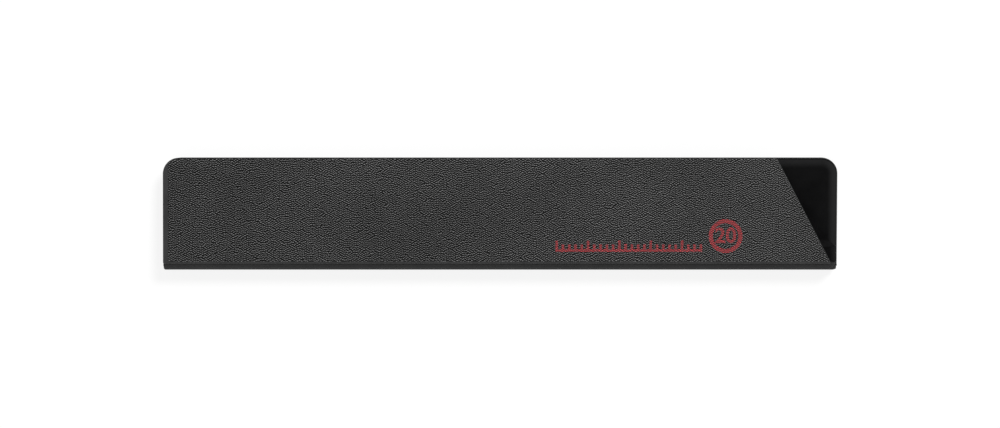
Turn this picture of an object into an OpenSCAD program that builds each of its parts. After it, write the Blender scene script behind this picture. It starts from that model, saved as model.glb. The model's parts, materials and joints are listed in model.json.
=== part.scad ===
// Knife blade guard: two stiff leaves and a narrow spine, creased from one grained sheet.
// The rear leaf lies flat on z = 0, the fold runs along X at -Y, the leaves open at +Y,
// and the blade slides in from the mouth end at +X. Drawn closed, as its magnets hold it.

/* [Leaves] */
// Length of the guard along its fold
guard_len = 216; // [160:1:320]
// Height of a leaf from its crease line to its free edge
leaf_h = 34.6; // [30:0.1:60]
// Radius of the corners on the free edge
corner_r = 5.1; // [3:0.1:8]
// How far the front leaf stops short of the mouth end, at its free edge
mouth_cut_free = 20; // [12:0.5:30]
// How far the front leaf stops short of the mouth end, at its crease line
mouth_cut_fold = 2.1; // [1:0.1:6]
// Radius of the corner between the front leaf's free edge and its slanted end
mouth_corner_r = 0.8; // [0.3:0.1:3]

/* [Cover sheet] */
// Thickness of the grained sheet
sheet_t = 1.4; // [0.8:0.05:1.6]
// Radius that the die leaves on the outer edge of the sheet
sheet_edge_r = 0.3; // [0.1:0.05:0.5]
// Width of the band pressed smooth along the tip end
tip_band_w = 1.4; // [0.8:0.1:3]
// Depth of that band
tip_band_depth = 0.12; // [0.05:0.01:0.25]

/* [Fold] */
// Distance between the two crease lines
spine_w = 6.1; // [5.9:0.1:9]
// Thickness of the sheet left in a crease
web_t = 0.35; // [0.25:0.05:0.45]
// Width of a crease's thin web
web_w = 1.2; // [0.8:0.05:1.4]
// How far a crease's slanted flank runs back before it meets the outer face
flank_run = 0.4; // [0.25:0.05:0.8]
// Radius of the shoulder between a flank and the outer face
shoulder_r = 0.25; // [0.1:0.05:0.35]
// Radius of the fold's outer corners, at both of its ends
fold_nose_r = 0.65; // [0.3:0.05:0.7]

/* [Lining] */
// Thickness of the flocked sheet
flock_t = 0.5; // [0.3:0.05:0.8]
// How far the lining lies inside the edge of its leaf
lining_inset = 0.2; // [0.1:0.1:1]
// Radius of the lining's corners beside the fold
lining_corner_r = 0.3; // [0.1:0.1:0.5]
// Width of the flat rim by which the lining is sealed to its leaf
rim_w = 0.5; // [0.4:0.1:2]
// Run of the slope between the rim and the raised field
slope_run = 2.2; // [0.6:0.1:2.5]
// Distance from a crease line to the edge of the lining
lining_start = 1.2; // [1.1:0.1:1.6]
// Distance from a crease line to the foot of the raised field, which leaves the edge channel
channel_w = 5.9; // [5.8:0.1:8]

/* [Magnets] */
// Diameter of a disc magnet
magnet_d = 10; // [6:0.5:14]
// Thickness of a magnet, and of the core sheet that holds it
magnet_t = 1.5; // [1:0.1:1.7]
// Magnets in each leaf
magnet_count = 4; // [2:1:5]
// Distance from a leaf's free edge to the middle of its magnets
magnets_from_free = 11; // [10:0.5:16]
// Distance from the guard's ends to the middle of the outer magnets
magnets_from_end = 32; // [28:1:45]
// Chamfer on a magnet's edges
magnet_chamfer = 0.2; // [0.1:0.05:0.3]

/* [Clearances] */
// Gap between the linings where the leaves come nearest, with no blade between them
rest_gap = 0.3; // [0.3:0.05:1]
// Gap around a magnet in its window
magnet_play = 0.1; // [0.05:0.05:0.3]
// Gap around the core inside its lining
core_play = 0.1; // [0.05:0.05:0.4]

/* [Hidden] */
LEAVES = ["rear", "front"];
$fn = 64;
past = 1;
thin = 0.01;

grained = [0.24, 0.24, 0.245];
flocked = [0.07, 0.07, 0.075];
core_grey = [0.55, 0.55, 0.53];
nickel = [0.72, 0.72, 0.74];

tip_x = -guard_len / 2;
mouth_x = guard_len / 2;

// a crease bends about a line in the middle of its web, which lies at the sheet's inner face
axis_h = sheet_t - web_t / 2;
web_half = web_w / 2;
flank_half = web_half + flank_run;

// the raised field of a lining, and the slope of its sides
field_h = magnet_t + flock_t;
slope_angle = atan(magnet_t / slope_run);
slope_shift = flock_t * tan(slope_angle / 2);
field_edge = leaf_h - lining_inset - rim_w - slope_run;

// half the angle between the leaves at which the raised fields come to rest_gap of each other
field_rise = web_t / 2 + field_h;
lean = asin((spine_w - rest_gap) / 2 / norm([field_edge, field_rise])) - atan(field_rise / field_edge);
wedge = 2 * lean;
bend_r = web_half * tan(45 - lean / 2);

// the closed guard's extent across the fold, which sets the crease lines in the frame
low_y = -axis_h * cos(lean) + flank_half * sin(lean);
high_y = spine_w * sin(lean) + leaf_h * cos(wedge) + axis_h * sin(wedge);
rear_y = -(low_y + high_y) / 2;
front_y = rear_y + spine_w * sin(lean);
front_z = axis_h + spine_w * cos(lean);

// how far each panel stops short of the mouth end: where it starts across the guard, and where it ends
rear_ends = [0, 0];
spine_ends = [0, mouth_cut_fold];
front_ends = [mouth_cut_fold, mouth_cut_free];

function unit(v) = v / norm(v);
function ends_of(panel) = panel == "front" ? front_ends : panel == "spine" ? spine_ends : rear_ends;
function height_of(panel) = panel == "spine" ? spine_w : leaf_h;
function mouth_radius(leaf) = leaf == "front" ? mouth_corner_r : corner_r;
function end_slope(panel) = (ends_of(panel)[1] - ends_of(panel)[0]) / height_of(panel);
function end_at(panel, u, inset) =
    mouth_x - ends_of(panel)[0] - u * end_slope(panel) - inset * norm([1, end_slope(panel)]);
function magnet_x(i) =
    tip_x + magnets_from_end + (i - 1) * (guard_len - 2 * magnets_from_end) / (magnet_count - 1);

// what a round of radius r takes off a corner at p, whose sides run along a and b
module corner_waste(p, a, b, r) {
    half = acos(a * b) / 2;
    middle = unit(a + b);
    difference() {
        polygon([p + a * r / tan(half), p - middle * r, p + b * r / tan(half)]);
        translate(p + middle * r / sin(half)) circle(r);
    }
}

// a convex outline with a radius at each of its corners, or none where the radius is 0
module rounded(points, radii) {
    n = len(points);
    difference() {
        polygon(points);
        for (i = [0:n - 1])
            if (radii[i] > 0)
                corner_waste(
                    points[i],
                    unit(points[(i + n - 1) % n] - points[i]),
                    unit(points[(i + 1) % n] - points[i]),
                    radii[i]
                );
    }
}

// outline of a leaf, or of what lies inset on it, from start out to the free edge
module leaf_plan(leaf, start, inset, fold_r = 0) {
    top = leaf_h - inset;
    rounded(
        [
            [tip_x + inset, start],
            [end_at(leaf, start, inset), start],
            [end_at(leaf, top, inset), top],
            [tip_x + inset, top]
        ],
        [fold_r, fold_r, max(mouth_radius(leaf) - inset, 0), max(corner_r - inset, 0)]
    );
}

// a section in Y and Z, drawn out along X from the tip end
module along_x(length) {
    translate([tip_x, 0, 0]) rotate([90, 0, 90]) linear_extrude(length) children();
}

// a panel drawn flat, outer face at 0, turned about its crease line with its outer face away from the slot
module on_crease(y, z, turn) {
    translate([0, y, z]) rotate([turn, 0, 0]) translate([0, 0, axis_h]) mirror([0, 0, 1]) children();
}

module place(leaf) {
    if (leaf == "rear") translate([0, rear_y, 0]) children();
    else on_crease(front_y, front_z, -wedge) children();
}

module place_spine() {
    on_crease(rear_y, axis_h, 90 - lean) children();
}

// section of a leaf's sheet: web face, slanted flank, rounded shoulder, rounded outer edge
module cover_section() {
    rounded(
        [
            [web_half, sheet_t],
            [web_half, sheet_t - web_t],
            [flank_half, 0],
            [leaf_h, 0],
            [leaf_h, sheet_t]
        ],
        [0, 0, shoulder_r, sheet_edge_r, 0]
    );
}

module cover(leaf) {
    color(grained) place(leaf) difference() {
        intersection() {
            along_x(guard_len) cover_section();
            translate([0, 0, -past]) linear_extrude(sheet_t + 2 * past) leaf_plan(leaf, web_half, 0);
        }
        translate([tip_x - past, 0, -past]) cube([tip_band_w + past, leaf_h + past, tip_band_depth + past]);
    }
}

// section of the spine's sheet, with a flank and a shoulder along both creases
module spine_section() {
    rounded(
        [
            [web_half, sheet_t],
            [web_half, sheet_t - web_t],
            [flank_half, 0],
            [spine_w - flank_half, 0],
            [spine_w - web_half, sheet_t - web_t],
            [spine_w - web_half, sheet_t]
        ],
        [0, 0, shoulder_r, shoulder_r, 0, 0]
    );
}

// everything on one side of an end of the strip, seen along the creases: square inside, a nose outside
module kept_from_end() {
    rotate([90, 0, 0]) linear_extrude(2 * guard_len, center = true) rounded(
        [[0, 0], [2 * guard_len, 0], [2 * guard_len, sheet_t], [0, sheet_t]],
        [fold_nose_r, 0, 0, 0]
    );
}

// the strip's mouth end slants back from the rear leaf's end to the front leaf's
module spine_strip() {
    color(grained) place_spine() intersection() {
        along_x(guard_len) spine_section();
        translate([tip_x, 0, 0]) kept_from_end();
        translate([mouth_x, 0, 0]) rotate([0, 0, atan(end_slope("spine"))]) mirror([1, 0, 0]) kept_from_end();
    }
}

// the thin web that bends between two panels, as a true arc that meets both of them squarely
module crease(y, z, start, length) {
    color(grained) translate([tip_x, y, z]) rotate([90, 0, 90]) rotate([0, 0, start])
        rotate_extrude(angle = 90 + lean) translate([bend_r - web_t / 2, 0]) square([web_t, length]);
}

module rear_crease() {
    crease(rear_y + web_half, axis_h + bend_r, 180 - lean, guard_len);
}

module front_crease() {
    crease(
        front_y + web_half * cos(wedge) - bend_r * sin(wedge),
        front_z - web_half * sin(wedge) - bend_r * cos(wedge),
        90 - wedge,
        guard_len - mouth_cut_fold
    );
}

// a low mesa over the leaf, whose foot lies inset from the lining's edge
module mesa(leaf, start, inset, height) {
    hull() {
        linear_extrude(thin) leaf_plan(leaf, start, inset, $fn = 32);
        translate([0, 0, height - thin])
            linear_extrude(thin) leaf_plan(leaf, start + slope_run, inset + slope_run, $fn = 32);
    }
}

// flocked sheet, formed up over the core and sealed flat all round it
module lining(leaf) {
    foot = lining_inset + rim_w;
    color(flocked) place(leaf) translate([0, 0, sheet_t]) difference() {
        union() {
            linear_extrude(flock_t) leaf_plan(leaf, lining_start, lining_inset, lining_corner_r, $fn = 32);
            translate([0, 0, flock_t]) mesa(leaf, channel_w, foot, magnet_t);
        }
        mesa(leaf, channel_w + slope_shift, foot + slope_shift, magnet_t);
    }
}

module spine_lining() {
    far = spine_w - lining_start;
    r = lining_corner_r;
    color(flocked) place_spine() translate([0, 0, sheet_t]) linear_extrude(flock_t) rounded(
        [
            [tip_x + lining_inset, lining_start],
            [end_at("spine", lining_start, lining_inset), lining_start],
            [end_at("spine", far, lining_inset), far],
            [tip_x + lining_inset, far]
        ],
        [r, r, r, r]
    );
}

// flat core sheet between cover and lining, punched for the magnets
module core(leaf) {
    inner = slope_run + slope_shift + core_play;
    color(core_grey) place(leaf) translate([0, 0, sheet_t]) difference() {
        linear_extrude(magnet_t) leaf_plan(leaf, channel_w + inner, lining_inset + rim_w + inner);
        for (i = [1:magnet_count])
            translate([magnet_x(i), leaf_h - magnets_from_free, -past])
                cylinder(d = magnet_d + 2 * magnet_play, h = magnet_t + 2 * past);
    }
}

module magnet(leaf, i) {
    r = magnet_d / 2;
    c = magnet_chamfer;
    color(nickel) place(leaf) translate([magnet_x(i), leaf_h - magnets_from_free, sheet_t])
        rotate_extrude() polygon([
            [0, 0], [r - c, 0], [r, c], [r, magnet_t - c], [r - c, magnet_t], [0, magnet_t]
        ]);
}

cover("rear");  // rear_cover
cover("front");  // front_cover
spine_strip();
rear_crease();
front_crease();
core("rear");  // rear_core
core("front");  // front_core
lining("rear");  // rear_lining
lining("front");  // front_lining
spine_lining();
for (leaf = LEAVES)
    for (i = [1:magnet_count])
        magnet(leaf, i);
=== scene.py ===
import json
from math import atan2, cos, hypot, pi, radians, sin, tan

import bmesh
import bpy
from mathutils import Matrix, Vector


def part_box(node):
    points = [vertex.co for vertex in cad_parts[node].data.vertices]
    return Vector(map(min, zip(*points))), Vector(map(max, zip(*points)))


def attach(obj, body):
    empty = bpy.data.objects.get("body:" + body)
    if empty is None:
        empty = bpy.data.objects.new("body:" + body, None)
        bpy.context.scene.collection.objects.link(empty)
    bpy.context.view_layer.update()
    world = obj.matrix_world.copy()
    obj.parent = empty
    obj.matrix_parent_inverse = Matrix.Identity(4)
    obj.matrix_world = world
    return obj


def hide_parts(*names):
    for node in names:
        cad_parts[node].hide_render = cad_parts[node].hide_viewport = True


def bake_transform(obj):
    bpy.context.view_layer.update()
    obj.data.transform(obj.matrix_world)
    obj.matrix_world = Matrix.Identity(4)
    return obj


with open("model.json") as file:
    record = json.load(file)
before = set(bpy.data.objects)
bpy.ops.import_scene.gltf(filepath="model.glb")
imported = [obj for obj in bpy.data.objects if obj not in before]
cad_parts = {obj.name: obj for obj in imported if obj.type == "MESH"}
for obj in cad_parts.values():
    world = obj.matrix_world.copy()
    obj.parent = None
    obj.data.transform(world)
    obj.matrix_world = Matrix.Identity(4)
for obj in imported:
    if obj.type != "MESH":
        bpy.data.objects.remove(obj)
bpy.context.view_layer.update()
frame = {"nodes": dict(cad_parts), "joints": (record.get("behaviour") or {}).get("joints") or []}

mm = 0.001
near = 0.02 * mm  # two places closer than this count as one
hair = near / 20  # points closer than this are joined by a cut or a weld
angles = {  # how far the faces at an edge turn, by which edges are told apart
    "bend": radians(20), "shade": radians(34), "shoulder": radians(40), "corner": radians(60),
    "shoulderEnd": radians(75), "outline": radians(76),
}


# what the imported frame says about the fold
def readFold():
    rearAxis, frontAxis = (joint["pos_m"] for joint in frame["joints"])
    coverLow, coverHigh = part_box("rear_cover")
    liningLow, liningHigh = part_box("rear_lining")
    stepY, stepZ = frontAxis[1] - rearAxis[1], frontAxis[2] - rearAxis[2]
    sheet = coverHigh.z - coverLow.z
    return {
        "tipX": coverLow.x, "mouthX": coverHigh.x,
        "rearY": rearAxis[1], "frontY": frontAxis[1], "frontZ": frontAxis[2],
        "sheet": sheet, "axisH": rearAxis[2], "web": 2 * (sheet - rearAxis[2]),
        "webHalf": coverLow.y - rearAxis[1], "leafH": coverHigh.y - rearAxis[1],
        "lean": atan2(stepY, stepZ), "spineW": hypot(stepY, stepZ),
        "liningStart": liningLow.y - rearAxis[1], "liningInset": coverHigh.x - liningHigh.x,
    }


fold = readFold()
mirrored = Matrix.Scale(-1, 4, (0, 0, 1))
lifted = Matrix.Translation((0, 0, fold["axisH"])) @ mirrored
benchTo = {  # each panel is made flat, outer face down, crease line on y = 0, then laid in its place
    "rear": Matrix.Translation((0, fold["rearY"], 0)),
    "front": Matrix.Translation((0, fold["frontY"], fold["frontZ"]))
    @ Matrix.Rotation(-2 * fold["lean"], 4, "X") @ lifted,
    "spine": Matrix.Translation((0, fold["rearY"], fold["axisH"]))
    @ Matrix.Rotation(pi / 2 - fold["lean"], 4, "X") @ lifted,
}
print("fold read, leaves", round(fold["leafH"] / mm, 2), "mm high")


# small tools for the bench
def clearSelection():
    if bpy.context.object and bpy.context.object.mode != "OBJECT":
        bpy.ops.object.mode_set(mode="OBJECT")
    bpy.ops.object.select_all(action="DESELECT")


def startPlane(name, lowX, highX, lowY, highY, z=0.0):  # leaves it open in edit mode, all selected
    clearSelection()
    bpy.ops.mesh.primitive_plane_add(size=1, location=(0, 0, 0))
    piece = bpy.context.object
    piece.name = piece.data.name = name
    bpy.ops.object.mode_set(mode="EDIT")
    bpy.ops.transform.resize(value=(highX - lowX, highY - lowY, 1))
    bpy.ops.transform.translate(value=((lowX + highX) / 2, (lowY + highY) / 2, z))
    return piece


def middle(part):
    if isinstance(part, bmesh.types.BMVert):
        return part.co
    return sum((v.co for v in part.verts), Vector()) / len(part.verts)


def pick(piece, kind, test):  # selects just the verts, edges or faces that pass the test
    bpy.ops.mesh.select_mode(type=kind)
    bpy.ops.mesh.select_all(action="DESELECT")
    mesh = bmesh.from_edit_mesh(piece.data)
    parts = {"VERT": mesh.verts, "EDGE": mesh.edges, "FACE": mesh.faces}[kind]
    found = [part for part in parts if test(part)]
    for part in found:
        part.select_set(True)
    mesh.select_flush_mode()
    bmesh.update_edit_mesh(piece.data)
    return len(found)


def cutAcross(point, normal, clear=False):  # a new edge line through the whole mesh
    bpy.ops.mesh.select_all(action="SELECT")
    normal = Vector(normal).normalized()
    bpy.ops.mesh.bisect(plane_co=point, plane_no=normal, clear_outer=clear, threshold=hair)


def roundCorner(piece, x, y, offset, segments):
    pick(piece, "VERT", lambda v: abs(v.co.x - x) < near and abs(v.co.y - y) < near)
    bpy.ops.mesh.bevel(offset=offset, segments=segments, affect="VERTICES", profile=0.5)


def softenEdges(piece, test, width, segments):
    if pick(piece, "EDGE", test):
        bpy.ops.mesh.bevel(offset=width, segments=segments, affect="EDGES", clamp_overlap=True)


flatShift = {"rear": 0.0, "spine": 50.0, "front": 100.0}  # in mm, so that no two panels show the same grain


def keepFlatPlaces(mesh, shift):  # where each corner lay on the flat sheet, in mm, for the grain
    while mesh.uv_layers:
        mesh.uv_layers.remove(mesh.uv_layers[0])
    places = mesh.uv_layers.new(name="sheet").data
    for loop in mesh.loops:
        flat = mesh.vertices[loop.vertex_index].co
        places[loop.index].uv = (flat.x / mm, (flat.y + flat.z) / mm + shift)


def layInPlace(piece, bench):
    bpy.ops.mesh.select_all(action="SELECT")
    bpy.ops.mesh.remove_doubles(threshold=hair)
    bpy.ops.object.mode_set(mode="OBJECT")
    keepFlatPlaces(piece.data, flatShift[bench])
    piece.data.transform(benchTo[bench])
    bpy.ops.object.mode_set(mode="EDIT")
    bpy.ops.mesh.select_all(action="SELECT")
    bpy.ops.mesh.normals_make_consistent(inside=False)
    bpy.ops.object.mode_set(mode="OBJECT")
    piece.select_set(True)
    bpy.ops.object.shade_smooth_by_angle(angle=angles["shade"])


def applyAll(piece):
    for modifier in list(piece.modifiers):
        bpy.ops.object.modifier_apply(modifier=modifier.name)


# shader tools
def link(tree, a, b):
    tree.links.new(a, b)


def node(tree, kind, **values):
    made = tree.nodes.new(kind)
    for key, value in values.items():
        setattr(made, key, value)
    return made


def maths(tree, operation, a, b=None, c=None, clamp=False):
    made = node(tree, "ShaderNodeMath", operation=operation, use_clamp=clamp)
    for socket, value in zip(made.inputs, (a, b, c)):
        if isinstance(value, (int, float)):
            socket.default_value = value
        elif value is not None:
            link(tree, value, socket)
    return made.outputs[0]


def spread(tree, value, low, high, outLow=0.0, outHigh=1.0):  # a smooth step between two values
    made = node(tree, "ShaderNodeMapRange", interpolation_type="SMOOTHSTEP")
    link(tree, value, made.inputs["Value"])
    for name, number in (("From Min", low), ("From Max", high), ("To Min", outLow), ("To Max", outHigh)):
        made.inputs[name].default_value = number
    return made.outputs["Result"]


def newGroup(name, inputs, outputs):
    tree = bpy.data.node_groups.new(name, "ShaderNodeTree")
    for label, value in inputs.items():
        socket = tree.interface.new_socket(name=label, in_out="INPUT", socket_type="NodeSocketFloat")
        socket.default_value = value
    for label in outputs:
        tree.interface.new_socket(name=label, in_out="OUTPUT", socket_type="NodeSocketFloat")
    return tree, tree.nodes.new("NodeGroupInput"), tree.nodes.new("NodeGroupOutput")


def placed(tree, group, **values):
    made = tree.nodes.new("ShaderNodeGroup")
    made.node_tree = group
    for name, value in values.items():
        made.inputs[name].default_value = value
    return made


# grain pressed into the sheet: low oval pebbles in wavy files across the guard, each file shifted at random
grainLook = {
    "length": 0.62, "height": 0.7,  # of one pebble, in mm
    "fileWave": {"along": 0.35, "across": 0.5, "reach": 1.5},  # how fast the files wander, and how far
    "rowWave": {"along": 0.5, "across": 0.3, "reach": 0.9},
    "stagger": 0.5, "chance": 0.3,  # how many rows each file is shifted against the last
    "ridge": (0.02, 0.26), "lump": (0.18, 0.5), "saddle": 0.12,  # where a pebble's sides fall off
    "relief": 0.08 * mm,
    # the pebble tops are painted light, a painted highlight, and the gaps between them dark, painted shade
    "crownHighlight": (0.245, 0.245, 0.245), "valleyShade": (0.0035, 0.0035, 0.0035), "handled": 1.18,
    "roughLow": 0.38, "roughHigh": 0.42, "speckRough": 0.06, "shine": 0.05,
    "blotchSize": 26.0, "speckSize": 0.35,
}


def makePebbleGroup():
    tree, ins, outs = newGroup("pebbleGrain", {"Length": 0.6, "Height": 0.7}, ("Relief", "ShadeInValleys"))
    place = node(tree, "ShaderNodeSeparateXYZ")
    link(tree, node(tree, "ShaderNodeUVMap", uv_map="sheet").outputs["UV"], place.inputs[0])
    along = maths(tree, "DIVIDE", place.outputs["X"], ins.outputs["Length"])
    across = maths(tree, "DIVIDE", place.outputs["Y"], ins.outputs["Height"])

    def wander(value, wave):  # carries a file or a row off in smooth waves
        spot = node(tree, "ShaderNodeCombineXYZ")
        link(tree, maths(tree, "MULTIPLY", along, wave["along"]), spot.inputs["X"])
        link(tree, maths(tree, "MULTIPLY", across, wave["across"]), spot.inputs["Y"])
        noise = node(tree, "ShaderNodeTexNoise", noise_dimensions="2D")
        noise.inputs["Scale"].default_value = 1.0
        noise.inputs["Detail"].default_value = 0.0
        link(tree, spot.outputs[0], noise.inputs["Vector"])
        return maths(tree, "MULTIPLY_ADD", noise.outputs["Fac"], wave["reach"], value)

    column = wander(along, grainLook["fileWave"])
    chance = node(tree, "ShaderNodeTexWhiteNoise", noise_dimensions="1D")
    link(tree, maths(tree, "ROUND", column), chance.inputs["W"])
    stepped = maths(tree, "MULTIPLY_ADD", maths(tree, "ROUND", column), grainLook["stagger"], across)
    shifted = maths(tree, "MULTIPLY_ADD", chance.outputs["Value"], grainLook["chance"], stepped)
    row = wander(shifted, grainLook["rowWave"])
    ridge = spread(tree, maths(tree, "PINGPONG", row, 0.5), *grainLook["ridge"], 1.0, 0.0)
    lump = spread(tree, maths(tree, "PINGPONG", column, 0.5), *grainLook["lump"], 1.0, grainLook["saddle"])
    rise = maths(tree, "MULTIPLY", ridge, lump)
    link(tree, rise, outs.inputs["Relief"])
    # the gaps between pebbles: the mask where shade is painted
    link(tree, maths(tree, "SUBTRACT", 1.0, rise), outs.inputs["ShadeInValleys"])
    return tree


# slow blotches of handling and dust, with a finer speckle on top
mottle = {  # for each layer its size in mm, its detail, and the part of the noise that shows
    "Blotch": {"size": "Size", "detail": 3.0, "shows": (0.35, 0.65)},
    "Speck": {"size": "Speckle", "detail": 2.0, "shows": (0.3, 0.7)},
}


def makeMottleGroup():
    tree, ins, outs = newGroup("handlingMottle", {"Size": 20.0, "Speckle": 0.6}, mottle)
    place = node(tree, "ShaderNodeTexCoord").outputs["Object"]
    for label, layer in mottle.items():
        noise = node(tree, "ShaderNodeTexNoise")
        noise.inputs["Detail"].default_value = layer["detail"]
        link(tree, place, noise.inputs["Vector"])
        link(tree, maths(tree, "DIVIDE", 1 / mm, ins.outputs[layer["size"]]), noise.inputs["Scale"])
        link(tree, spread(tree, noise.outputs["Fac"], *layer["shows"]), outs.inputs[label])
    return tree


pebbleGroup = makePebbleGroup()
mottleGroup = makeMottleGroup()


def newMaterial(name):
    material = bpy.data.materials.new(name)
    material.use_nodes = True
    return material, material.node_tree, material.node_tree.nodes["Principled BSDF"]


def mixColours(tree, factor, a, b):
    made = node(tree, "ShaderNodeMix", data_type="RGBA")  # its colour sockets are 6 and 7, and 2 going out
    link(tree, factor, made.inputs["Factor"])
    for socket, value in ((made.inputs[6], a), (made.inputs[7], b)):
        if isinstance(value, tuple):
            socket.default_value = (*value, 1.0)
        else:
            link(tree, value, socket)
    return made.outputs[2]


def bumpInto(tree, shader, height, distance):
    bump = node(tree, "ShaderNodeBump")
    bump.inputs["Distance"].default_value = distance
    link(tree, height, bump.inputs["Height"])
    link(tree, bump.outputs["Normal"], shader.inputs["Normal"])


def makeGrainedSheet():
    material, tree, shader = newMaterial("grainedSheet")
    grain = placed(tree, pebbleGroup, Length=grainLook["length"], Height=grainLook["height"])
    hands = placed(tree, mottleGroup, Size=grainLook["blotchSize"], Speckle=grainLook["speckSize"])
    handled = tuple(c * grainLook["handled"] for c in grainLook["crownHighlight"])
    crownHighlight = mixColours(tree, hands.outputs["Blotch"], grainLook["crownHighlight"], handled)
    # painted shade in the gaps between pebbles, over the painted highlight on their tops
    tone = mixColours(tree, grain.outputs["ShadeInValleys"], crownHighlight, grainLook["valleyShade"])
    link(tree, tone, shader.inputs["Base Color"])
    rough = spread(tree, hands.outputs["Blotch"], 0.0, 1.0, grainLook["roughHigh"], grainLook["roughLow"])
    rough = maths(tree, "MULTIPLY_ADD", hands.outputs["Speck"], grainLook["speckRough"], rough)
    link(tree, rough, shader.inputs["Roughness"])
    shader.inputs["Specular IOR Level"].default_value = grainLook["shine"]
    bumpInto(tree, shader, grain.outputs["Relief"], grainLook["relief"])
    return material


plainLooks = {  # one tone each with a little mottle, of which tintBy and dullBy name the layer they follow
    "pressedSheet": {
        "size": 7.0, "speckle": 0.3, "bump": 0.01 * mm, "shine": 0.2, "metal": 0.0,
        "tintBy": "Blotch", "low": (0.0262, 0.0262, 0.0266), "high": (0.0352, 0.0352, 0.0355),
        "dullBy": "Speck", "rough": (0.36, 0.5),
    },
    # the crease web: the same smooth sheet, painted darker for the shade deep in the crease
    "shadedCreaseWeb": {
        "size": 7.0, "speckle": 0.3, "bump": 0.01 * mm, "shine": 0.2, "metal": 0.0,
        "tintBy": "Blotch", "low": (0.0148, 0.0148, 0.0149), "high": (0.0198, 0.0198, 0.02),
        "dullBy": "Speck", "rough": (0.36, 0.5),
    },
    # the die-cut edges and ends: a little rougher than the face, and painted much darker as painted shade
    "shadedCutEdge": {
        "size": 5.0, "speckle": 0.25, "bump": 0.015 * mm, "shine": 0.03, "metal": 0.0,
        "tintBy": "Blotch", "low": (0.006, 0.006, 0.0062), "high": (0.01, 0.01, 0.0102),
        "dullBy": "Speck", "rough": (0.55, 0.7),
    },
    "coreSheet": {
        "size": 12.0, "speckle": 0.4, "bump": 0.05 * mm, "shine": 0.5, "metal": 0.0,
        "tintBy": "Speck", "low": (0.22, 0.22, 0.21), "high": (0.31, 0.31, 0.3),
        "dullBy": "Blotch", "rough": (0.7, 0.85),
    },
    "nickel": {
        "size": 4.0, "speckle": 0.15, "bump": 0.004 * mm, "shine": 0.5, "metal": 1.0,
        "tintBy": "Blotch", "low": (0.58, 0.57, 0.54), "high": (0.66, 0.65, 0.62),
        "dullBy": "Speck", "rough": (0.2, 0.34),
    },
}


def makePlain(name):
    look = plainLooks[name]
    material, tree, shader = newMaterial(name)
    marks = placed(tree, mottleGroup, Size=look["size"], Speckle=look["speckle"])
    tone = mixColours(tree, marks.outputs[look["tintBy"]], look["low"], look["high"])
    link(tree, tone, shader.inputs["Base Color"])
    rough = spread(tree, marks.outputs[look["dullBy"]], 0.0, 1.0, *look["rough"])
    link(tree, rough, shader.inputs["Roughness"])
    shader.inputs["Specular IOR Level"].default_value = look["shine"]
    shader.inputs["Metallic"].default_value = look["metal"]
    bumpInto(tree, shader, marks.outputs["Speck"], look["bump"])
    return material


flockLook = {
    "size": 9.0, "speckle": 0.1, "nap": 0.035 * mm,
    "endsLow": (0.0034, 0.0034, 0.0036), "endsHigh": (0.0065, 0.0065, 0.0067),  # seen down into the nap
    # the lighter tone is a painted sheen, shown where the nap is seen across
    "sides": (0.033, 0.033, 0.0338), "turn": (0.05, 0.85),  # seen across it, from little to much
    "sealedRun": (2.8 * mm, 0.2 * mm), "sealed": 0.6,  # painted light: the flock lighter towards the mouth end
    "rough": (0.85, 1.0), "shine": 0.03, "sheen": 0.1, "sheenRough": 0.35,
}


def makeFlock():
    material, tree, shader = newMaterial("flock")
    nap = placed(tree, mottleGroup, Size=flockLook["size"], Speckle=flockLook["speckle"])
    ends = mixColours(tree, nap.outputs["Blotch"], flockLook["endsLow"], flockLook["endsHigh"])
    # painted sheen: the nap is painted lighter where it is seen across
    turned = node(tree, "ShaderNodeLayerWeight")
    turned.inputs["Blend"].default_value = 0.5
    sides = spread(tree, maths(tree, "POWER", turned.outputs["Facing"], 0.5), *flockLook["turn"])
    place = node(tree, "ShaderNodeSeparateXYZ")
    link(tree, node(tree, "ShaderNodeTexCoord").outputs["Object"], place.inputs[0])
    # painted light: the flock lighter towards the mouth end
    sealedFrom, sealedTo = (fold["mouthX"] - run for run in flockLook["sealedRun"])
    sealed = spread(tree, place.outputs["X"], sealedFrom, sealedTo, 0.0, flockLook["sealed"])
    # the painted sheen and the painted light at the mouth end, whichever is stronger
    paintedLight = maths(tree, "MAXIMUM", sides, sealed)
    link(tree, mixColours(tree, paintedLight, ends, flockLook["sides"]), shader.inputs["Base Color"])
    link(tree, spread(tree, nap.outputs["Speck"], 0.0, 1.0, *flockLook["rough"]), shader.inputs["Roughness"])
    shader.inputs["Specular IOR Level"].default_value = flockLook["shine"]
    shader.inputs["Sheen Weight"].default_value = flockLook["sheen"]
    shader.inputs["Sheen Roughness"].default_value = flockLook["sheenRough"]
    bumpInto(tree, shader, nap.outputs["Speck"], flockLook["nap"])
    return material


inkLook = {
    "size": 5.0, "speckle": 0.5, "low": (0.76, 0.078, 0.088), "high": (0.88, 0.098, 0.108),
    # the ink is painted darker in the gaps between pebbles, as painted shade
    "valleyShade": (0.15, 0.03, 0.034), "rough": (0.45, 0.6), "shine": 0.2,
}


def makeInk():
    material, tree, shader = newMaterial("redInk")
    grain = placed(tree, pebbleGroup, Length=grainLook["length"], Height=grainLook["height"])
    wear = placed(tree, mottleGroup, Size=inkLook["size"], Speckle=inkLook["speckle"])
    full = mixColours(tree, wear.outputs["Blotch"], inkLook["low"], inkLook["high"])
    # painted shade: the ink darker in the gaps between pebbles
    tone = mixColours(tree, grain.outputs["ShadeInValleys"], full, inkLook["valleyShade"])
    link(tree, tone, shader.inputs["Base Color"])
    link(tree, spread(tree, wear.outputs["Speck"], 0.0, 1.0, *inkLook["rough"]), shader.inputs["Roughness"])
    shader.inputs["Specular IOR Level"].default_value = inkLook["shine"]
    bumpInto(tree, shader, grain.outputs["Relief"], grainLook["relief"])
    return material


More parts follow.
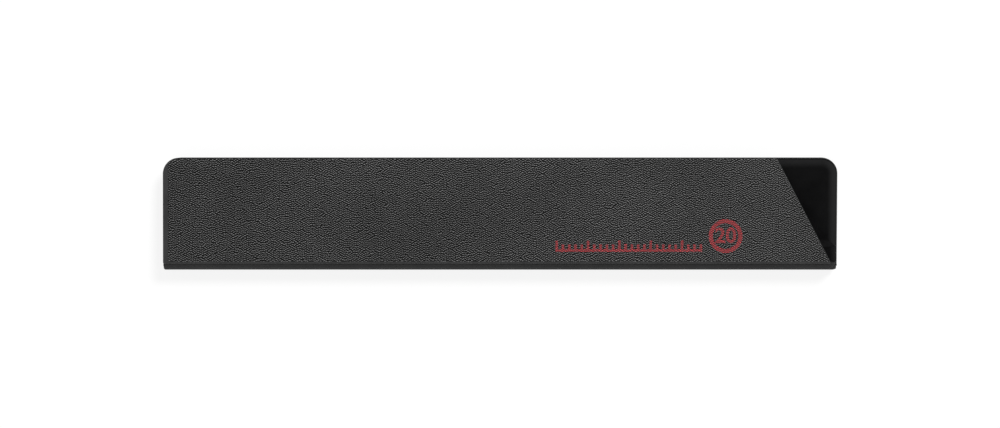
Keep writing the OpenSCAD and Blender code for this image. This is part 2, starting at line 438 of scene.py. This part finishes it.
grainedSheet, flock, redInk = makeGrainedSheet(), makeFlock(), makeInk()
pressedSheet, shadedCreaseWeb, shadedCutEdge, coreSheet, nickel = (makePlain(name) for name in plainLooks)
print("materials made")


# the die-cut outline: how far each panel stops short of the mouth end, where it starts and ends
mouthCut = {"rear": (0.0, 0.0), "spine": (0.0, 2.1 * mm), "front": (2.1 * mm, 20 * mm)}


def endSlope(panel):
    start, end = mouthCut[panel]
    return (end - start) / (fold["spineW"] if panel == "spine" else fold["leafH"])


def endAt(panel, u, inset=0.0):  # x of a panel's mouth end at distance u from its crease line
    slope = endSlope(panel)
    return fold["mouthX"] - mouthCut[panel][0] - u * slope - inset * hypot(1, slope)


def trimMouth(panel, inset=0.0):
    if endSlope(panel) > 0:
        cutAcross((endAt(panel, 0, inset), 0, 0), (1, endSlope(panel), 0), clear=True)


# covers: grained outside, pressed smooth at the crease, the tip band and the cut edges
cover = {
    "cornerR": 5.1 * mm, "cornerSteps": 16, "mouthCornerR": 0.8 * mm, "mouthCornerSteps": 6,
    "flankRun": 0.4 * mm, "shoulder": 0.21 * mm, "shoulderSteps": 4, "slender": 9, "land": 0.5 * mm,
    "edge": 0.3 * mm, "edgeSteps": 3, "innerEdge": 0.08 * mm, "innerSteps": 2,
    "bandW": 1.4 * mm, "bandDepth": 0.12 * mm, "bandBlend": 0.25 * mm,
}


def thicken(thickness):  # a flat sheet gets its second face and its cut edges
    bpy.ops.mesh.select_all(action="SELECT")
    bpy.ops.mesh.extrude_region_move(TRANSFORM_OT_translate={"value": (0, 0, thickness)})
    bpy.ops.mesh.select_all(action="SELECT")
    bpy.ops.mesh.normals_make_consistent(inside=False)


def pushFlank(piece, panel, y, way):  # the outer face starts further in than the web does
    def isEdge(v):
        return v.co.z < near and abs(v.co.y - y) < near

    pick(piece, "VERT", lambda v: isEdge(v) and v.co.x > 0)
    bpy.ops.transform.translate(value=(-way * endSlope(panel) * cover["flankRun"], 0, 0))
    pick(piece, "VERT", isEdge)
    bpy.ops.transform.translate(value=(0, way * cover["flankRun"], 0))


def roundShoulders(piece):  # where a crease's flank meets the outer face
    def isShoulder(e):
        span = e.verts[0].co - e.verts[1].co
        lengthwise = abs(span.x) > abs(span.y) * cover["slender"]
        turned = angles["shoulder"] < e.calc_face_angle(0) < angles["shoulderEnd"]
        return lengthwise and turned and middle(e).z < near

    softenEdges(piece, isShoulder, cover["shoulder"], cover["shoulderSteps"])


def roundOutline(piece):  # the outer edge that the die cut
    def isOutline(e):
        return e.calc_face_angle(0) > angles["outline"] and middle(e).z < fold["sheet"] / 2

    softenEdges(piece, isOutline, cover["edge"], cover["edgeSteps"])


facing = {"outer": 0.999, "side": 0.5, "level": 0.96}  # how squarely a face looks along an axis


def paintSheet(piece, isGrained, isFlank):
    bpy.ops.object.mode_set(mode="OBJECT")
    for material in (grainedSheet, pressedSheet, shadedCutEdge):
        piece.data.materials.append(material)
    for face in piece.data.polygons:
        flat = face.center.z < near and face.normal.z < -facing["outer"]
        # steep faces, the ends and the sides take the dark cut-edge colour, painted shade
        steep = abs(face.normal.z) < facing["level"] and not isFlank(face)
        cut = steep or abs(face.normal.x) > facing["side"]
        face.material_index = 0 if flat and isGrained(face) else 2 if cut else 1
    bpy.ops.object.mode_set(mode="EDIT")


def pressBand(piece):  # the smooth band along the tip end lies a little lower than the grain
    bandX = fold["tipX"] + cover["bandW"]
    cutAcross((bandX, 0, 0), (1, 0, 0))
    cutAcross((bandX + cover["bandBlend"], 0, 0), (1, 0, 0))
    pick(piece, "VERT", lambda v: v.co.z < cover["bandDepth"] and v.co.x < bandX + near)
    bpy.ops.transform.resize(value=(1, 1, 0), center_override=(0, 0, cover["bandDepth"]))
    return bandX


def makeCover(leaf):
    sheet, webHalf, leafH, tipX = fold["sheet"], fold["webHalf"], fold["leafH"], fold["tipX"]
    piece = startPlane(leaf + "CoverSheet", tipX, fold["mouthX"], webHalf, leafH)
    trimMouth(leaf)
    roundCorner(piece, tipX, leafH, cover["cornerR"], cover["cornerSteps"])
    if leaf == "front":
        offset = cover["mouthCornerR"] / tan(pi / 4 + atan2(endSlope(leaf), 1) / 2)
        roundCorner(piece, endAt(leaf, leafH), leafH, offset, cover["mouthCornerSteps"])
    else:
        roundCorner(piece, fold["mouthX"], leafH, cover["cornerR"], cover["cornerSteps"])
    thicken(sheet)
    cutAcross((0, 0, sheet - fold["web"]), (0, 0, 1))
    pushFlank(piece, leaf, webHalf, 1)
    roundShoulders(piece)
    roundOutline(piece)
    bandX = pressBand(piece)
    landY = webHalf + cover["flankRun"] + cover["land"]
    cutAcross((0, landY, 0), (0, 1, 0))

    def isInner(e):
        flatRim = middle(e).z > sheet - near and middle(e).y > webHalf + near
        return flatRim and e.calc_face_angle(0) > angles["corner"]

    def isGrained(face):
        return face.center.x > bandX + near and face.center.y > landY

    def isFlank(face):  # the crease's side and the land beside it, or the step down to the band
        return face.center.y < landY or 0 < face.center.x - bandX < cover["bandBlend"]

    softenEdges(piece, isInner, cover["innerEdge"], cover["innerSteps"])
    paintSheet(piece, isGrained, isFlank)
    layInPlace(piece, leaf)
    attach(piece, leaf + "_leaf")
    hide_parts(leaf + "_cover")


# spine: the same sheet between the two creases, its outer corners rounded to a nose
spine = {"nose": 0.65 * mm, "mouthNose": 0.25 * mm, "noseSteps": 6}


def pressNose(piece, end, inward, radius):  # rounds the outer face off towards an end, ring by ring
    for i in range(1, spine["noseSteps"] + 1):
        turn = pi / 2 * i / spine["noseSteps"]
        inset, depth = radius * (1 - sin(turn)), radius * (1 - cos(turn))
        if i < spine["noseSteps"]:
            cutAcross(end + inward * inset, inward)
        pick(piece, "VERT", lambda v: (v.co - end).dot(inward) < inset + near and v.co.z < depth)
        bpy.ops.transform.resize(value=(1, 1, 0), center_override=(0, 0, depth))


def makeSpine():
    sheet, webHalf, width = fold["sheet"], fold["webHalf"], fold["spineW"]
    piece = startPlane("spineSheet", fold["tipX"], fold["mouthX"], webHalf, width - webHalf)
    trimMouth("spine")
    thicken(sheet)
    cutAcross((0, 0, sheet - fold["web"]), (0, 0, 1))
    pushFlank(piece, "spine", webHalf, 1)
    pushFlank(piece, "spine", width - webHalf, -1)
    roundShoulders(piece)
    fromMouth = Vector((-1, -endSlope("spine"), 0)).normalized()
    pressNose(piece, Vector((fold["tipX"], 0, 0)), Vector((1, 0, 0)), spine["nose"])
    pressNose(piece, Vector((fold["mouthX"], 0, 0)), fromMouth, spine["mouthNose"])
    flankEnd = webHalf + cover["flankRun"] + cover["shoulder"]
    paintSheet(piece, lambda face: True, lambda face: min(face.center.y, width - face.center.y) < flankEnd)
    layInPlace(piece, "spine")
    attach(piece, "spine")
    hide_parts("spine_strip")


# creases: the thin webs between a leaf and the spine
crease = {"steps": 14}


def makeCrease(leaf):
    lean, webHalf, axisH = fold["lean"], fold["webHalf"], fold["axisH"]
    endX = fold["mouthX"] - mouthCut[leaf][0]
    piece = startPlane(leaf + "CreaseWeb", fold["tipX"], endX, -fold["web"] / 2, fold["web"] / 2)
    bpy.ops.transform.rotate(value=pi / 2, orient_axis="X", center_override=(0, 0, 0))
    bpy.ops.transform.translate(value=(0, webHalf, axisH))
    bendR = webHalf * tan(pi / 4 - lean / 2)
    bpy.ops.mesh.spin(
        steps=crease["steps"], angle=pi / 2 + lean, center=(0, webHalf, axisH + bendR), axis=(1, 0, 0)
    )
    layInPlace(piece, leaf)
    # the web is painted darker, as painted shade in the crease
    piece.data.materials.append(shadedCreaseWeb)
    toSpine = Vector((0, sin(lean), cos(lean))) * webHalf
    if leaf == "rear":
        axis = Vector((0, fold["rearY"], axisH))
        onLeaf, onSpine = axis + Vector((0, webHalf, 0)), axis + toSpine
    else:
        axis = Vector((0, fold["frontY"], fold["frontZ"]))
        onLeaf = axis + Vector((0, cos(2 * lean), -sin(2 * lean))) * webHalf
        onSpine = axis - toSpine
    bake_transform(piece)
    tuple(onLeaf)
    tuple(onSpine)
    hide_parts(leaf + "_crease")


# linings: flocked sheet, sealed flat at its rim and formed up over the core
lining = {
    "flockT": 0.5 * mm, "rimW": 0.3 * mm, "channelW": 5.9 * mm, "cornerSteps": 12,
    "rise": 1.5 * mm, "slopeRun": 3 * mm, "slopeSteps": 6, "bend": 0.15 * mm, "bendSteps": 4,
    "edge": 0.28 * mm, "edgeSteps": 5, "stripCornerR": 0.3 * mm, "stripCornerSteps": 4, "stripEdgeSteps": 3,
}


def makeLining(leaf):
    inset, start, slope = fold["liningInset"], fold["liningStart"], endSlope(leaf)
    top = fold["leafH"] - inset
    low = fold["sheet"] + lining["flockT"]
    piece = startPlane(leaf + "FlockLining", fold["tipX"] + inset, fold["mouthX"] - inset, start, top, low)
    trimMouth(leaf, inset)
    roundCorner(piece, fold["tipX"] + inset, top, cover["cornerR"] - inset, lining["cornerSteps"])
    if leaf == "rear":
        roundCorner(piece, fold["mouthX"] - inset, top, cover["cornerR"] - inset, lining["cornerSteps"])
    bpy.ops.mesh.select_all(action="SELECT")
    bpy.ops.mesh.inset(thickness=lining["rimW"], depth=0, use_even_offset=True)
    foot = start + lining["rimW"]
    shift = lining["channelW"] - foot

    def isFoot(v):  # a corner of the inset face, not one of the outline's
        return abs(v.co.y - foot) < near and len(v.link_edges) > 2

    pick(piece, "VERT", lambda v: isFoot(v) and v.co.x > 0)
    bpy.ops.transform.translate(value=(-shift * slope, 0, 0))
    pick(piece, "VERT", isFoot)
    bpy.ops.transform.translate(value=(0, shift, 0))
    pick(piece, "FACE", lambda f: len(f.verts) > 8)  # the field, whose rounded corners give it many points
    run, turn = lining["slopeRun"] / lining["slopeSteps"], pi / 2 / lining["slopeSteps"]
    for i in range(lining["slopeSteps"]):  # steep at its foot, level where it meets the field
        bpy.ops.mesh.inset(thickness=run, depth=0, use_even_offset=True)
        bpy.ops.transform.translate(value=(0, 0, lining["rise"] * (sin((i + 1) * turn) - sin(i * turn))))

    def isBend(e):
        return len(e.link_faces) == 2 and e.calc_face_angle(0) > angles["bend"]

    softenEdges(piece, isBend, lining["bend"], lining["bendSteps"])
    bpy.ops.object.mode_set(mode="OBJECT")
    thick = piece.modifiers.new("sheet", "SOLIDIFY")
    thick.thickness = lining["flockT"]
    thick.offset = -1.0
    thick.use_even_offset = True
    applyAll(piece)
    bpy.ops.object.mode_set(mode="EDIT")

    def isRim(e):
        return e.calc_face_angle(0) > angles["corner"] and abs(middle(e).z - low) < near

    softenEdges(piece, isRim, lining["edge"], lining["edgeSteps"])
    layInPlace(piece, leaf)
    piece.data.materials.append(flock)
    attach(piece, leaf + "_leaf")
    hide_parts(leaf + "_lining")


def makeSpineLining():
    inset, start, far = fold["liningInset"], fold["liningStart"], fold["spineW"] - fold["liningStart"]
    top = fold["sheet"] + lining["flockT"]
    piece = startPlane("spineFlockStrip", fold["tipX"] + inset, fold["mouthX"], start, far, fold["sheet"])
    trimMouth("spine", inset)
    thicken(lining["flockT"])

    def isUpright(e):
        return abs(e.verts[0].co.z - e.verts[1].co.z) > near

    def isTopEdge(e):
        return e.calc_face_angle(0) > angles["corner"] and middle(e).z > top - near

    softenEdges(piece, isUpright, lining["stripCornerR"], lining["stripCornerSteps"])
    softenEdges(piece, isTopEdge, lining["edge"], lining["stripEdgeSteps"])
    layInPlace(piece, "spine")
    piece.data.materials.append(flock)
    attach(piece, "spine")
    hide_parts("spine_lining")


for leaf in ("rear", "front"):
    makeCover(leaf)
    makeCrease(leaf)
    makeLining(leaf)
makeSpine()
makeSpineLining()
print("sheet, creases and linings made")


# what is sealed inside keeps its CAD shape
def finishCadNodes():
    for name, cadNode in frame["nodes"].items():
        material = nickel if "magnet" in name else coreSheet if name.endswith("_core") else None
        if material:
            cadNode.data.materials.clear()
            cadNode.data.materials.append(material)


finishCadNodes()


# red print: a short plain scale and a number in a ring
ink = {
    "depth": 0.02 * mm,
    "ringX": 71.6 * mm, "ringU": 9.6 * mm, "ringR": 5.4 * mm, "ringW": 1.3 * mm, "ringSteps": 64,
    "digits": "20", "digitH": 4.9 * mm, "digitShare": 0.72, "bolder": 0.14 * mm, "curveSteps": 6,
    "scaleX": 17.3 * mm, "scaleLen": 46 * mm, "scaleU": 4.6 * mm, "pitch": 2 * mm,
    "tickW": 0.8 * mm, "short": 1.6 * mm, "long": 2.8 * mm, "longEvery": 5, "lineW": 0.8 * mm,
}


def inkBar(name, x, u, width, height):
    piece = startPlane(name, x, x + width, u, u + height, -ink["depth"])
    bpy.ops.mesh.extrude_region_move(TRANSFORM_OT_translate={"value": (0, 0, ink["depth"])})
    bpy.ops.object.mode_set(mode="OBJECT")
    return piece


def inkRing():
    clearSelection()
    bpy.ops.mesh.primitive_circle_add(
        vertices=ink["ringSteps"], radius=ink["ringR"], fill_type="NGON", location=(0, 0, 0)
    )
    piece = bpy.context.object
    bpy.ops.object.mode_set(mode="EDIT")
    bpy.ops.mesh.select_all(action="SELECT")
    bpy.ops.mesh.inset(thickness=ink["ringW"], depth=0)
    bpy.ops.mesh.delete(type="FACE")
    bpy.ops.mesh.select_all(action="SELECT")
    bpy.ops.transform.translate(value=(ink["ringX"], ink["ringU"], -ink["depth"]))
    bpy.ops.mesh.extrude_region_move(TRANSFORM_OT_translate={"value": (0, 0, ink["depth"])})
    bpy.ops.object.mode_set(mode="OBJECT")
    return piece


def inkDigits():
    clearSelection()
    bpy.ops.object.text_add(location=(0, 0, 0))
    text = bpy.context.object
    text.data.body = ink["digits"]
    text.data.align_x = "CENTER"
    text.data.align_y = "CENTER"
    text.data.size = ink["digitH"] / ink["digitShare"]
    text.data.extrude = ink["depth"] / 2
    text.data.offset = ink["bolder"]
    text.data.resolution_u = ink["curveSteps"]
    bpy.ops.object.convert(target="MESH")
    piece = bpy.context.object
    bpy.ops.object.mode_set(mode="EDIT")
    bpy.ops.mesh.select_all(action="SELECT")
    bpy.ops.transform.translate(value=(ink["ringX"], ink["ringU"], -ink["depth"] / 2))
    bpy.ops.object.mode_set(mode="OBJECT")
    return piece


def makePrint():
    marks = [inkRing(), inkDigits()]
    lineLen = ink["scaleLen"] + ink["tickW"]
    marks.append(inkBar("scaleLine", ink["scaleX"], ink["scaleU"], lineLen, ink["lineW"]))
    tickU = ink["scaleU"] + ink["lineW"]
    for i in range(round(ink["scaleLen"] / ink["pitch"]) + 1):
        height = ink["long"] if i % ink["longEvery"] == 0 else ink["short"]
        marks.append(inkBar("tick", ink["scaleX"] + i * ink["pitch"], tickU, ink["tickW"], height))
    clearSelection()
    for mark in marks:
        mark.select_set(True)
    bpy.context.view_layer.objects.active = marks[0]
    bpy.ops.object.join()
    piece = bpy.context.object
    piece.name = piece.data.name = "redPrint"
    bpy.ops.object.transform_apply(location=True, rotation=True, scale=True)
    bpy.ops.object.mode_set(mode="EDIT")
    layInPlace(piece, "front")
    piece.data.materials.clear()
    piece.data.materials.append(redInk)
    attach(piece, "front_leaf")


makePrint()
print("print made")


# table, light and camera
stage = {
    "half": 1.6, "drop": 0.02 * mm, "cuts": 4,
    "white": (0.22, 0.22, 0.22), "glow": 0.84, "rough": 0.9, "shine": 0.1,
}


def seenDirectly(tree):  # 1 where the camera, a mirror or glass looks at it, 0 where it lights something
    path = node(tree, "ShaderNodeLightPath")
    seen = maths(tree, "ADD", path.outputs["Is Camera Ray"], path.outputs["Is Glossy Ray"])
    return maths(tree, "ADD", seen, path.outputs["Is Transmission Ray"], clamp=True)


def makeFloor():
    half = stage["half"]
    floor = startPlane("tableTop", -half, half, -half, half, -stage["drop"])
    bpy.ops.mesh.subdivide(number_cuts=stage["cuts"])
    bpy.ops.object.mode_set(mode="OBJECT")
    material, tree, shader = newMaterial("whiteTable")
    shader.inputs["Base Color"].default_value = (*stage["white"], 1)
    shader.inputs["Roughness"].default_value = stage["rough"]
    shader.inputs["Specular IOR Level"].default_value = stage["shine"]
    shader.inputs["Emission Color"].default_value = (1, 1, 1, 1)
    link(tree, maths(tree, "MULTIPLY", seenDirectly(tree), stage["glow"]), shader.inputs["Emission Strength"])
    floor.data.materials.append(material)


room = {"soft": 0.27}  # how strongly the white room lights things, next to how it looks


def makeWorld():
    world = bpy.data.worlds.new("studio")
    bpy.context.scene.world = world
    world.use_nodes = True
    tree = world.node_tree
    sky = tree.nodes["Background"]
    sky.inputs["Color"].default_value = (1, 1, 1, 1)
    level = maths(tree, "MULTIPLY_ADD", seenDirectly(tree), 1 - room["soft"], room["soft"])
    link(tree, level, sky.inputs["Strength"])


lamps = {  # where each one shines from, how wide it looks, and how strong it is
    "key": {"towards": (0.5, 0.7, 0.85), "width": 20, "strength": 2.15},
    "fill": {"towards": (-0.3, -0.7, 0.8), "width": 60, "strength": 0.35},
}


def makeLamps():
    for name, values in lamps.items():
        clearSelection()
        bpy.ops.object.light_add(type="SUN", location=Vector(values["towards"]))
        lamp = bpy.context.object
        lamp.name = name
        lamp.data.energy = values["strength"]
        lamp.data.angle = radians(values["width"])
        lamp.rotation_euler = (-Vector(values["towards"])).to_track_quat("-Z", "Y").to_euler()


camera = {
    "distance": 0.8, "tilt": radians(3.5), "frameW": 320.6 * mm, "sensor": 36.0, "nearest": 0.01,
    "aim": (-0.4 * mm, -0.17 * mm, 4 * mm),
}


def makeCamera():
    data = bpy.data.cameras.new("camera")
    eye = bpy.data.objects.new("camera", data)
    bpy.context.scene.collection.objects.link(eye)
    aim = Vector(camera["aim"])
    eye.location = aim + Vector((0, sin(camera["tilt"]), cos(camera["tilt"]))) * camera["distance"]
    eye.rotation_euler = (-camera["tilt"], 0, 0)
    data.sensor_width = camera["sensor"]
    data.lens = camera["sensor"] * camera["distance"] / camera["frameW"]
    data.clip_start = camera["nearest"]
    bpy.context.scene.camera = eye


makeFloor()
makeWorld()
makeLamps()
makeCamera()
bpy.context.scene.view_settings.view_transform = "Standard"
print("stage made")
